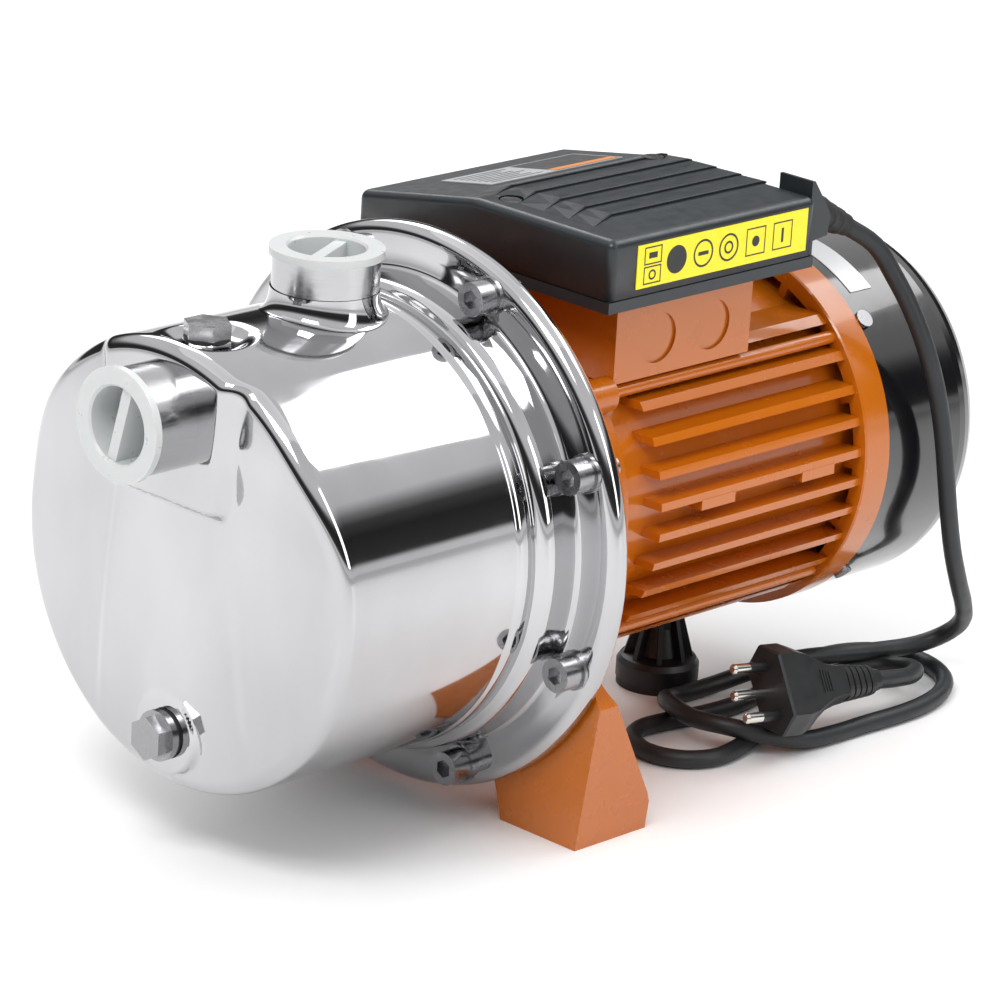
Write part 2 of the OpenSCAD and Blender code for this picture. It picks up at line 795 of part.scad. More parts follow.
module terminal_block() {
    color([0.92, 0.92, 0.90]) difference() {
        at(62, -36, 63.02) cube([40, 20, 15]);
        for (i = [0 : 3])
            at(67 + 10 * i, -26, 70) cylinder(r = 3, h = 12);
    }
}

module cable_clamp() {
    color([0.13, 0.14, 0.15]) at(box_back, clamp_y + clamp_w / 2, box_seam)
        rotate([90, 0, 0]) linear_extrude(clamp_w)
            polygon([[0.3, 0], [0.3, 26.7], [1.8, 26.7], [10, 15.5], [11.8, 12], [10.5, 5],
                     [2.6, 4], [2.6, 0]]);
}

// ---- Power cord ----------------------------------------------------------

module cord_strain_relief() {
    color([0.06, 0.06, 0.07]) translate(relief_start)
        rotate([0, 90 + relief_tilt, 0]) {
            translate([0, 0, -3]) cylinder(r = 6.4, h = 5);
            rotate_extrude() polygon([
                [0, 0], [6, 0], [6, 4], [5.2, 4.6], [5.2, 6.6], [5.6, 7.2],
                [5.4, 9.6], [4.8, 10.2], [4.8, 12.2], [5.1, 12.8], [4.9, 15],
                [4.4, 15.6], [4.2, relief_len], [0, relief_len]]);
        }
}

// Catmull-Rom point between b and c
function between(a, b, c, d, t) =
    0.5 * ((2 * b) + (c - a) * t + (2 * a - 5 * b + 4 * c - d) * t * t
           + (3 * b - a - 3 * c + d) * t * t * t);

function tangent(p, i) = unit(p[min(i + 1, len(p) - 1)] - p[max(i - 1, 0)]);

// Side directions carried along the line without twisting
function sides(p, i = 0, side = [0, 1, 0]) =
    i == len(p) ? [] :
    let (t = tangent(p, i), s = unit(side - (side * t) * t))
    concat([s], sides(p, i + 1, s));

module tube(p, r, n) {
    s = sides(p);
    points = [for (i = [0 : len(p) - 1], k = [0 : n - 1])
        let (t = tangent(p, i), a = 360 * k / n)
        p[i] + r * (cos(a) * s[i] + sin(a) * cross(t, s[i]))];
    walls = [for (i = [0 : len(p) - 2], k = [0 : n - 1])
        let (a = i * n + k, b = i * n + (k + 1) % n)
        [a, b, b + n, a + n]];
    first = [for (k = [n - 1 : -1 : 0]) k];
    last = [for (k = [0 : n - 1]) (len(p) - 1) * n + k];
    polyhedron(points, concat(walls, [first], [last]), convexity = 8);
}

module power_cord() {
    color([0.06, 0.06, 0.07]) tube(cord_route, cord_d / 2, cord_sides);
}

// Plug pieces are drawn with the pins along -X and the cord along +X
module plug_place() {
    translate(plug_at) rotate([0, plug_droop, plug_yaw]) rotate([-plug_lean, 0, 0])
        children();
}

module plug_slab(x, half_h, half_t, chamfer, t = 0.5) {
    translate([x, 0, 0]) rotate([90, 0, 90]) linear_extrude(t) polygon([
        [-half_t, -half_h + chamfer], [0, -half_h], [half_t, -half_h + chamfer],
        [half_t, half_h - chamfer], [0, half_h], [-half_t, half_h - chamfer]]);
}

module plug_body() {
    color([0.06, 0.06, 0.07]) plug_place() {
        hull() {
            plug_slab(0, 18, 8.2, 6);
            plug_slab(12, 18, 8.2, 6);
            plug_slab(32, 8, 6.6, 2);
        }
        hull() {
            plug_slab(32, 8, 6.6, 2);
            plug_slab(40, 7.4, 6.2, 2);
        }
        for (i = [0 : 3])
            translate([40.5 + 5.4 * i, 0, 0]) rotate([0, 90, 0])
                cylinder(r = 6.6 - 0.5 * i, h = 3.2);
        translate([38, 0, 0]) rotate([0, 90, 0])
            cylinder(r1 = 5.2, r2 = 4.2, h = plug_len - 38);
        for (z = [-9.5, 9.5])
            translate([-10, 0, z]) x_tube(2, 1.6, 11);
    }
}

module plug_pins() {
    color([0.82, 0.80, 0.72]) plug_place() {
        for (z = [-9.5, 9.5]) {
            translate([-18, 0, z]) x_rod(2, 7.98);
            translate([-10.1, 0, z]) x_rod(1.6, 10);
            translate([-19, 0, z]) rotate([0, 90, 0]) cylinder(r1 = 1.2, r2 = 2, h = 1);
        }
        translate([-18, 3, 0]) x_rod(2, 17.98);
        translate([-19, 3, 0]) rotate([0, 90, 0]) cylinder(r1 = 1.2, r2 = 2, h = 1);
    }
}

pump_casing();
suction_socket();
discharge_socket();
discharge_saddle();
suction_cap();
discharge_cap();
priming_plug();
priming_washer();
drain_plug();
drain_washer();
suction_chamber();
ejector_nozzle();
ejector_venturi();
diffuser();
diffuser_seal_ring();
impeller();
impeller_nut();
seal_rotating();
seal_bellows();
seal_seat();
seal_plate();
casing_o_ring();
casing_bolts();
casing_bolt_washers();
motor_bracket();
motor_frame();
tie_rods();
front_bearing();
rear_bearing();
shaft();
rotor_core();
stator_core();
stator_winding();
rear_shield();
water_slinger();
cooling_fan();
fan_clip();
fan_cover();
fan_cover_screws();
fan_cover_label();
motor_foot();
motor_foot_pad();
motor_foot_screw();
terminal_base();
terminal_gasket();
terminal_cover();
cover_screws();
capacitor();
terminal_block();
cable_clamp();
cord_strain_relief();
safety_label();
rating_label();
power_cord();
plug_body();
plug_pins();
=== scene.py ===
import bpy
import bmesh
import json
import math
from mathutils import Matrix, Vector


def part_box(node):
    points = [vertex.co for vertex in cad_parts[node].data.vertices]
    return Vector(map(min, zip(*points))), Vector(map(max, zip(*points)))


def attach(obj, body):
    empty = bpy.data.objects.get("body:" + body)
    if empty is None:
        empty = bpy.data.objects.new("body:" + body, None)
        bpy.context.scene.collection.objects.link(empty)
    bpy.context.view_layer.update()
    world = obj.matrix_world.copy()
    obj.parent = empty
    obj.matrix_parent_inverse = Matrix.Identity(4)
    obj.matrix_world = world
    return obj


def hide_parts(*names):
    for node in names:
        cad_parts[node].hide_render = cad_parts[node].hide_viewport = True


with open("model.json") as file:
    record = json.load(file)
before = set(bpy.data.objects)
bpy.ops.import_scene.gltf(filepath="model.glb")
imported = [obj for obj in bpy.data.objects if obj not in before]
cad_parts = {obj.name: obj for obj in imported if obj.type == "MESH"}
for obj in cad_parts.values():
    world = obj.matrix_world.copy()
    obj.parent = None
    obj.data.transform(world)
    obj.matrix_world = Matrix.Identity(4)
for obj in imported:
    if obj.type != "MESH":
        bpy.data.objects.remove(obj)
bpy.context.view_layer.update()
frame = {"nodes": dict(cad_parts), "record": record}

# Shapes are worked out in millimetres, from the flange and the pump axis
MM = 0.001
FLANGE_X = -53.0
AXIS_H = 108.0


def at(u, y, z):
    """A point at station u, offset y and z from the pump axis, in metres."""
    return Vector(((FLANGE_X + u) * MM, y * MM, (AXIS_H + z) * MM))


def step(x, low, high):
    """Smooth ramp from 0 at low to 1 at high."""
    t = min(1.0, max(0.0, (x - low) / (high - low)))
    return t * t * t * (t * (6 * t - 15) + 10)


# ---- Materials -----------------------------------------------------------


def material(name, color, rough, metallic=0.0, tint=0.06, tint_scale=60.0, bump=0.02,
             bump_scale=900.0, stretch=(1, 1, 1), coat=0.0, spread=0.06, **sockets):
    """A surface with colour drift, uneven gloss and fine relief from noise."""
    m = bpy.data.materials.new(name)
    m.use_nodes = True
    nt = m.node_tree
    bsdf = nt.nodes["Principled BSDF"]
    bsdf.inputs["Metallic"].default_value = metallic
    bsdf.inputs["Coat Weight"].default_value = coat
    bsdf.inputs["Coat Roughness"].default_value = 0.06
    for key, value in sockets.items():
        bsdf.inputs[key.replace("_", " ")].default_value = value
    coord = nt.nodes.new("ShaderNodeTexCoord")
    mapping = nt.nodes.new("ShaderNodeMapping")
    mapping.inputs["Scale"].default_value = stretch
    nt.links.new(coord.outputs["Object"], mapping.inputs["Vector"])

    def grain(scale, detail):
        n = nt.nodes.new("ShaderNodeTexNoise")
        n.inputs["Scale"].default_value = scale
        n.inputs["Detail"].default_value = detail
        nt.links.new(mapping.outputs["Vector"], n.inputs["Vector"])
        return n

    def ramp(source, low, high):
        r = nt.nodes.new("ShaderNodeMapRange")
        r.inputs["From Min"].default_value = 0.3
        r.inputs["From Max"].default_value = 0.7
        r.inputs["To Min"].default_value = low
        r.inputs["To Max"].default_value = high
        nt.links.new(source.outputs["Fac"], r.inputs["Value"])
        return r

    drift = grain(tint_scale, 4)
    mix = nt.nodes.new("ShaderNodeMix")
    mix.data_type = "RGBA"
    mix.inputs["A"].default_value = (*[c * (1 - tint) for c in color], 1)
    mix.inputs["B"].default_value = (*[min(1, c * (1 + tint)) for c in color], 1)
    nt.links.new(drift.outputs["Fac"], mix.inputs["Factor"])
    nt.links.new(mix.outputs["Result"], bsdf.inputs["Base Color"])
    gloss = ramp(grain(tint_scale * 3, 3), max(0.02, rough - spread), rough + spread)
    nt.links.new(gloss.outputs["Result"], bsdf.inputs["Roughness"])
    if bump:
        relief = nt.nodes.new("ShaderNodeBump")
        relief.inputs["Strength"].default_value = 1.0
        relief.inputs["Distance"].default_value = bump * MM
        nt.links.new(grain(bump_scale, 2).outputs["Fac"], relief.inputs["Height"])
        nt.links.new(relief.outputs["Normal"], bsdf.inputs["Normal"])
    return m


LOOK = {
    "polished_steel": material("polished_steel", (0.50, 0.50, 0.51), 0.06, 1, tint=0.26,
                               tint_scale=17, bump=0, stretch=(1, 1, 0.45), spread=0.02),
    "brushed_steel": material("brushed_steel", (0.50, 0.50, 0.51), 0.20, 1, tint=0.03,
                              bump=0.004, bump_scale=260, stretch=(1, 1, 9), spread=0.05),
    "machined_steel": material("machined_steel", (0.33, 0.33, 0.34), 0.26, 1, tint=0.03,
                               bump=0.002, bump_scale=400, spread=0.05),
    "electrical_steel": material("electrical_steel", (0.42, 0.43, 0.45), 0.42, 1,
                                 bump=0.05, bump_scale=220, stretch=(10, 1, 1)),
    "bearing_steel": material("bearing_steel", (0.74, 0.74, 0.75), 0.12, 1, tint=0.02,
                              bump=0.003),
    "orange_paint": material("orange_paint", (0.52, 0.130, 0.003), 0.24, 0, tint=0.05,
                             tint_scale=25, bump=0.06, bump_scale=190, coat=0.5),
    "cast_orange": material("cast_orange", (0.50, 0.125, 0.003), 0.28, 0, tint=0.05,
                            tint_scale=25, bump=0.07, bump_scale=170, coat=0.4),
    "black_paint": material("black_paint", (0.006, 0.006, 0.007), 0.14, 0, tint=0.1,
                            bump=0.015, bump_scale=160, coat=0.8, spread=0.04),
    "milky_plastic": material("milky_plastic", (0.66, 0.68, 0.68), 0.30, 0, tint=0.02,
                              bump=0.004, bump_scale=150, spread=0.03,
                              Transmission_Weight=0.12,
                              Subsurface_Weight=0.2, Subsurface_Scale=0.003),
    "charcoal_plastic": material("charcoal_plastic", (0.017, 0.022, 0.026), 0.34, 0,
                                 tint=0.08, bump=0.03, bump_scale=1500, spread=0.05),
    "black_plastic": material("black_plastic", (0.010, 0.011, 0.012), 0.42, 0, tint=0.1,
                              bump=0.03, bump_scale=1300),
    "noryl_plastic": material("noryl_plastic", (0.05, 0.05, 0.055), 0.45, 0, tint=0.1,
                              bump=0.03, bump_scale=900),
    "white_plastic": material("white_plastic", (0.78, 0.78, 0.75), 0.35, 0, tint=0.02,
                              bump=0.02, bump_scale=800),
    "black_rubber": material("black_rubber", (0.012, 0.012, 0.012), 0.62, 0, tint=0.15,
                             bump=0.04, bump_scale=1200),
    "cord_rubber": material("cord_rubber", (0.014, 0.016, 0.018), 0.46, 0, tint=0.12,
                            bump=0.03, bump_scale=900),
    "brass": material("brass", (0.72, 0.50, 0.20), 0.28, 1, tint=0.06, bump=0.01),
    "nickel_brass": material("nickel_brass", (0.74, 0.72, 0.67), 0.20, 1, tint=0.05,
                             bump=0.006, bump_scale=600),
    "carbon": material("carbon", (0.03, 0.03, 0.032), 0.35, 0, bump=0.01),
    "ceramic": material("ceramic", (0.86, 0.84, 0.78), 0.2, 0, tint=0.02, bump=0.005),
    "copper_winding": material("copper_winding", (0.50, 0.17, 0.05), 0.32, 0.6, tint=0.2,
                               bump=0.25, bump_scale=500, stretch=(1, 4, 4)),
    "yellow_label": material("yellow_label", (0.93, 0.78, 0.01), 0.30, 0, tint=0.02,
                             bump=0.004),
    "silver_label": material("silver_label", (0.55, 0.56, 0.57), 0.34, 0.4, tint=0.03,
                             bump=0.004),
}
INK = material("label_ink", (0.012, 0.012, 0.012), 0.4, 0, tint=0.1, bump=0.002)
LABEL_ORANGE = material("label_orange", (0.75, 0.24, 0.03), 0.35, 0, tint=0.04, bump=0.002)
LABEL_DARK = material("label_dark", (0.03, 0.03, 0.03), 0.34, 0, tint=0.1, bump=0.002)

for part in frame["record"]["subparts"]:
    node = frame["nodes"][part["node"]]
    node.data.materials.clear()
    node.data.materials.append(LOOK[part["material_slot"]])


# ---- Mesh helpers --------------------------------------------------------


def link(name, data):
    """Puts a mesh, curve, lamp or camera in the scene."""
    obj = bpy.data.objects.new(name, data)
    bpy.context.scene.collection.objects.link(obj)
    return obj


def mesh_object(name, points, faces):
    """A mesh from points in metres, with its faces turned outward."""
    mesh = bpy.data.meshes.new(name)
    mesh.from_pydata([tuple(p) for p in points], [], faces)
    bm = bmesh.new()
    bm.from_mesh(mesh)
    bmesh.ops.recalc_face_normals(bm, faces=bm.faces)
    bm.to_mesh(mesh)
    bm.free()
    return link(name, mesh)


def piece(name, points, faces, look, body, replaces=(), smooth=True, slot=None):
    """A mesh object that rides on a CAD body."""
    obj = mesh_object(name, points, faces)
    if smooth:
        obj.data.shade_smooth()
    obj.data.materials.append(look)
    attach(obj, body)
    if replaces:
        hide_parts(*replaces)
    return obj


def rings(loops, cap=False):
    """Faces that join equal closed loops of points one after another."""
    n = len(loops[0])
    points = [p for loop in loops for p in loop]
    faces = []
    for i in range(len(loops) - 1):
        for k in range(n):
            a, b = i * n + k, i * n + (k + 1) % n
            faces.append((a, b, b + n, a + n))
    if cap:
        faces.append(tuple(range(n - 1, -1, -1)))
        faces.append(tuple(range((len(loops) - 1) * n, len(loops) * n)))
    return points, faces


def join(shapes):
    """Points and faces of several shapes as one."""
    points, faces = [], []
    for shape_points, shape_faces in shapes:
        base = len(points)
        points += shape_points
        faces += [tuple(i + base for i in face) for face in shape_faces]
    return points, faces


def bevel(obj, width, segments, angle):
    """Rounds the edges that are sharper than angle, in degrees."""
    m = obj.modifiers.new("edges", "BEVEL")
    m.width = width * MM
    m.segments = segments
    m.limit_method = "ANGLE"
    m.angle_limit = math.radians(angle)
    m.harden_normals = True
    return obj


# ---- Pump casing: one pressed shell --------------------------------------

BARREL_R = 82.5
FACE_R = 76.5
FACE_U = -112.8
FACE_DISH = 4.2
CHEEK_DEPTH = 2.4
BROW_HEIGHT = 6.0
BAND_HEIGHT = 1.5
FILLET = BARREL_R - FACE_R
BARREL_END_U = -26.6
NOSE_U = -120.0
NOSE_LOW = 26.0
SUCTION_Z = 56.7
DISCHARGE_U = -44.8
PORT_HOLE_R = 17.2
DRAIN_Z = -61.2
DRAIN_FACE_U = -113.0
DRAIN_HOLE_R = 7.6
DRAIN_BOSS_R = (14.2, 15.6)
PRIMING_U = -99.8
PRIMING_HOLE_R = 7.4
POCKET_Z = 78.6
POCKET_R = (9.6, 18.0)
COLUMNS = 640
# Turned lip, groove and bolt ring behind the barrel, as (radius, station)
FLANGE_PROFILE = (
    (82.5, -26), (82.7, -25.2), (83.1, -24.6), (83.2, -23), (83.2, -18.5),
    (82.9, -17.6), (83.0, -16.9), (84.0, -16.5), (85.6, -15.6), (86.5, -13.8),
    (86.6, -11), (86.6, -4), (86.8, -1.8), (87.4, -0.5), (88.6, 0.0), (94, 0.0),
    (99, 0.0), (100.5, 0.15), (101.8, 0.7), (103, 1.7), (103.8, 3.0), (104, 4.4),
    (104, 6.2), (103.8, 6.6), (102.6, 6.6), (102.4, 6.2), (102.4, 3.5))
ANGLES = [2 * math.pi * k / COLUMNS for k in range(COLUMNS)]


def front(y, z):
    """Station of the pressed front face at y, z."""
    reach = math.hypot(y, z) / FACE_R
    rise = max(0.0, z - NOSE_LOW)
    inner, outer = 25 + 0.03 * rise, 29.5 + 0.19 * rise
    beside = step(abs(y), inner, outer)
    edge = step(reach, 0.30, 1.0)
    u = FACE_U + FACE_DISH * reach * reach
    u += CHEEK_DEPTH * step(z, 6, 34) * step(abs(y), 24, 58) * (1 - edge)
    u -= BROW_HEIGHT * step(z, 4, 60) * edge
    band = 1 - step(abs(y), 26 - 0.11 * (z - 22), 33 - 0.11 * (z - 22))
    u -= BAND_HEIGHT * band * step(z, -76, -40)
    nose = step(z, NOSE_LOW - 2.5, NOSE_LOW + 2.5) * (1 - beside)
    u += (NOSE_U - u) * nose
    boss = 1 - step(math.hypot(y, z - DRAIN_Z), *DRAIN_BOSS_R)
    return u + (DRAIN_FACE_U - u) * boss


def face_rings():
    """Points of the front face, from the middle out, and whether each is kept."""
    points, keep = [], []
    for r in (FACE_R * math.sin(0.5 * math.pi * i / 60) ** 0.9 for i in range(1, 61)):
        for a in ANGLES:
            y, z = r * math.cos(a), r * math.sin(a)
            points.append(at(front(y, z), y, z))
            keep.append(math.hypot(y, z - SUCTION_Z) > PORT_HOLE_R
                        and math.hypot(y, z - DRAIN_Z) > DRAIN_HOLE_R)
    return points, keep


def wall_rings():
    """Points of the rolled rim, the barrel and the flange."""
    edge = [front(FACE_R * math.cos(a), FACE_R * math.sin(a)) for a in ANGLES]
    turned = []
    for i in range(1, 10):
        q = math.radians(90.0 * i / 9)
        turned.append([(FACE_R + FILLET * math.sin(q), u0 + FILLET * (1 - math.cos(q)))
                       for u0 in edge])
    for i in range(1, 41):
        turned.append([(BARREL_R, u0 + FILLET + (BARREL_END_U - u0 - FILLET) * i / 40)
                       for u0 in edge])
    turned += [[place] * COLUMNS for place in FLANGE_PROFILE]
    return [at(u, r * math.cos(a), r * math.sin(a))
            for ring in turned for a, (r, u) in zip(ANGLES, ring)]


def open_top(points, keep):
    """Sinks the pocket round the priming boss and opens the two upper ports."""
    for i, p in enumerate(points):
        u, y, z = p.x / MM - FLANGE_X, p.y / MM, p.z / MM - AXIS_H
        if z < 60 or u < -112:
            continue
        away = math.hypot(u - PRIMING_U, y)
        p.z -= max(0.0, z - POCKET_Z) * (1 - step(away, *POCKET_R)) * MM
        if away < PRIMING_HOLE_R or math.hypot(u - DISCHARGE_U, y) < PORT_HOLE_R:
            keep[i] = False


def casing():
    points, keep = face_rings()
    points += wall_rings()
    keep += [True] * (len(points) - len(keep))
    open_top(points, keep)
    faces = []
    for i in range(len(points) // COLUMNS - 1):
        for k in range(COLUMNS):
            q = (i * COLUMNS + k, i * COLUMNS + (k + 1) % COLUMNS,
                 (i + 1) * COLUMNS + (k + 1) % COLUMNS, (i + 1) * COLUMNS + k)
            if all(keep[j] for j in q):
                faces.append(q)
    centre = len(points)
    points.append(at(front(0, 0), 0, 0))
    faces += [(centre, (k + 1) % COLUMNS, k) for k in range(COLUMNS)]
    return piece("casing_shell", points, faces, LOOK["polished_steel"], "pump",
                 replaces=["pump_casing"], slot="polished_steel")


casing()


def priming_boss():
    """Hexagonal boss that the priming plug screws into."""
    n = 48

    def hexagon(r, z):
        loop = []
        for k in range(n):
            a = 2 * math.pi * k / n
            flat = r * math.cos(math.pi / 6) / math.cos((a % (math.pi / 3)) - math.pi / 6)
            loop.append(at(PRIMING_U + flat * math.cos(a), flat * math.sin(a), z))
        return loop

    def circle(r, z):
        return [at(PRIMING_U + r * math.cos(2 * math.pi * k / n),
                   r * math.sin(2 * math.pi * k / n), z) for k in range(n)]

    loops = [hexagon(8.7, POCKET_Z - 1.5), hexagon(8.7, 79.9), hexagon(8.3, 80.4),
             circle(6.9, 80.4), circle(6.55, 80.0), circle(6.55, 76.0)]
    return piece("priming_boss", *rings(loops), LOOK["polished_steel"], "pump",
                 smooth=False, slot="polished_steel")


priming_boss()


def saddle():
    """Neck that flares from the discharge port on to the barrel."""
    low, high = (p / MM for p in (Vector(q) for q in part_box("discharge_saddle")))
    centre = (low + high) / 2
    reach = min(high.x - low.x, high.y - low.y) / 2 - 0.2
    inner, top = 19.4, high.z - AXIS_H
    n, loops = 96, []
    for i in range(17):
        t = 0.5 * math.pi * i / 16
        r = inner + (reach - inner) * (1 - math.cos(t))
        loop = []
        for k in range(n):
            a = 2 * math.pi * k / n
            y = r * math.sin(a)
            shell = math.sqrt((BARREL_R + 0.15) ** 2 - y * y)
            z = top + (shell - top) * math.sin(t)
            loop.append(Vector(((centre.x + r * math.cos(a)), y, z + AXIS_H)) * MM)
        loops.append(loop)
    return piece("discharge_neck", *rings(loops), LOOK["polished_steel"], "pump",
                 replaces=["discharge_saddle"], slot="polished_steel")


saddle()


# ---- Terminal box --------------------------------------------------------

BOX_U = (31.9, 140.5)
LID_Y = 64.0
LID_Z = 108.6
LID_LOW_Z = 98.4
RIDGE_Y = 6.0
SEAM_Z = 86.8
LID_SLOPE = math.atan((LID_Z - LID_LOW_Z) / (LID_Y - RIDGE_Y))
SCREWS = ((43.0, -3.0), (132.0, 10.0))
SCREW_HOLE_R = 4.6
STEP_Y = (18.0, 10.4, -2.0, -14.4, -26.8, -39.2)
# Along each step, as (station, shift towards -Y, height of its edge)
STEP_PROFILE = ((41.0, 6.6, 0.05), (49.0, 3.1, 0.6), (57.0, 0.0, 1.1),
                (137.0, 0.0, 1.1), (139.6, 0.4, 0.5))


def lid_top(y):
    """Height of the lid: flat, then falling away from the ridge."""
    return LID_Z - max(0.0, y - RIDGE_Y) * math.tan(LID_SLOPE)


def cut(obj, *cutters):
    """Cuts shapes out of a mesh for good, and removes the cutters."""
    for c in cutters:
        m = obj.modifiers.new("cut", "BOOLEAN")
        m.object = c
        m.solver = "EXACT"
        m.use_self = True
    bpy.context.view_layer.update()
    graph = bpy.context.evaluated_depsgraph_get()
    mesh = bpy.data.meshes.new_from_object(obj.evaluated_get(graph))
    obj.modifiers.clear()
    obj.data = mesh
    for c in cutters:
        bpy.data.objects.remove(c)
    return obj


def drum(name, centre, radius, height, n=48):
    """An upright cylinder, used to cut a hole."""
    loops = [[centre + Vector((radius * math.cos(2 * math.pi * k / n),
                               radius * math.sin(2 * math.pi * k / n), h)) * MM
              for k in range(n)] for h in (0, height)]
    return mesh_object(name, *rings(loops, cap=True))


def lid():
    """Hollow lid with a flat top, a slope and two screw holes."""
    outline = [(-LID_Y, SEAM_Z), (-LID_Y, LID_Z), (RIDGE_Y, LID_Z), (LID_Y, LID_LOW_Z),
               (LID_Y, SEAM_Z)]
    low = [at(BOX_U[0], y, z) for y, z in outline]
    high = [at(BOX_U[1], y, z) for y, z in outline]
    n = len(outline)
    faces = [tuple(range(n)), tuple(range(2 * n - 1, n - 1, -1))]
    faces += [(i, i + n, i + n + 1, i + 1) for i in range(n - 1)]
    obj = piece("terminal_lid", low + high, faces, LOOK["charcoal_plastic"],
                "terminal_cover", replaces=["terminal_cover"], slot="charcoal_plastic")
    bevel(obj, 3.2, 5, 6)
    wall = obj.modifiers.new("wall", "SOLIDIFY")
    wall.thickness = 2.4 * MM
    wall.offset = -1
    holes = []
    for i, (u, y) in enumerate(SCREWS):
        holes.append(drum("hole_%d" % i, at(u, y, lid_top(y) - 1.4), SCREW_HOLE_R, 6))
    return cut(obj, *holes)


def shingles():
    """Five low steps along the flat of the lid, each with a slanted start."""
    shapes = []
    for upper, lower in zip(STEP_Y, STEP_Y[1:]):
        loops = []
        for u, shift, rise in STEP_PROFILE:
            high, low = upper - shift, lower - shift
            crest, foot = lid_top(high), lid_top(low)
            loops.append([at(u, high, crest - 0.4), at(u, high, crest + 0.04),
                          at(u, low, foot + rise), at(u, low - 0.25, foot + rise * 0.7),
                          at(u, low - 0.05, foot - 0.4)])
        shapes.append(rings(loops, cap=True))
    obj = piece("lid_steps", *join(shapes), LOOK["charcoal_plastic"], "terminal_cover",
                smooth=False, slot="charcoal_plastic")
    cutters = [drum("step_hole_%d" % i, at(u, y, LID_Z - 6), SCREW_HOLE_R, 12)
               for i, (u, y) in enumerate(SCREWS)]
    return cut(obj, *cutters)


lid()
shingles()


def ring_marks(name, marks, place, look, lift):
    """Flat marks on a lid label: rings, frames and bars in label millimetres."""
    square = ((-1, -1), (1, -1), (1, 1), (-1, 1))
    n, shapes = 40, []
    for kind, a, b, w, h in marks:
        if kind == "ring":
            shapes.append(rings([[place(a + r * math.cos(2 * math.pi * k / n),
                                        b + r * math.sin(2 * math.pi * k / n), lift)
                                  for k in range(n)] for r in (w, h)]))
        elif kind == "frame":
            shapes.append(rings([[place(a + sx * (w / 2 - d), b + sy * (h / 2 - d), lift)
                                  for sx, sy in square] for d in (0, 0.5)]))
        else:
            corners = [place(a + sx * w / 2, b + sy * h / 2, lift) for sx, sy in square]
            shapes.append((corners, [(0, 1, 2, 3)]))
    return piece(name, *join(shapes), look, "terminal_cover", smooth=False)


def safety_marks():
    """Plain signs on the long label on the side of the lid."""
    def place(a, b, lift):
        return at(45 + a, -64.32 - lift, 89.3 + b)

    marks = [("frame", 8.0, 11.6, 9, 6.6), ("bar", 8.0, 11.6, 4.4, 2.2),
             ("frame", 8.0, 4.4, 9, 6.6), ("ring", 8.0, 4.4, 1.2, 1.9),
             ("ring", 20.5, 8, 0.01, 5.2), ("ring", 34.5, 8, 4.4, 5.2),
             ("bar", 34.5, 8, 5.4, 1.4), ("ring", 48.0, 8, 4.4, 5.2),
             ("ring", 48.0, 8, 1.6, 2.4), ("frame", 62.5, 8, 10.4, 10.4),
             ("ring", 62.5, 8, 0.01, 2.0), ("frame", 77.0, 8, 10.4, 10.4),
             ("bar", 77.0, 8, 1.2, 5.4)]
    ring_marks("safety_label_marks", marks, place, INK, 0.05)


LABEL_LIFT = 0.34


def rating_marks():
    """Plain blocks and rows on the label on the slope of the lid."""
    def place(a, b, lift):
        y, z = (16 + b) * math.cos(LID_SLOPE), -(16 + b) * math.sin(LID_SLOPE)
        lift += LABEL_LIFT
        return at(58 + a, RIDGE_Y + y + lift * math.sin(LID_SLOPE),
                  LID_Z + z + lift * math.cos(LID_SLOPE))

    ring_marks("rating_label_dark", [("bar", 52.0, 13.0, 34.0, 24.0)], place, LABEL_DARK,
               0.04)
    ring_marks("rating_label_orange", [("bar", 52.0, 3.4, 34.0, 4.4)], place, LABEL_ORANGE,
               0.08)
    rows = [("bar", 17.0 - (i % 3) * 1.4, 3.4 + 3.2 * i, 27.0 - (i % 3) * 2.8, 0.8)
            for i in range(7)]
    ring_marks("rating_label_rows", rows, place, INK, 0.04)


safety_marks()
rating_marks()

# Rounded edges on the castings and mouldings that are shown as the CAD drew them
for node, width in (("motor_frame", 0.7), ("motor_bracket", 1.0), ("rear_shield", 0.6),
                    ("terminal_base", 0.9), ("cable_clamp", 1.4), ("motor_foot", 0.5),
                    ("casing_bolts", 0.5), ("priming_plug", 0.35), ("drain_plug", 0.35),
                    ("casing_bolt_washers", 0.3), ("suction_socket", 0.3),
                    ("discharge_socket", 0.3), ("suction_cap", 0.3), ("discharge_cap", 0.3)):
    bevel(frame["nodes"][node], width, 2, 35)


# ---- Power cord ----------------------------------------------------------

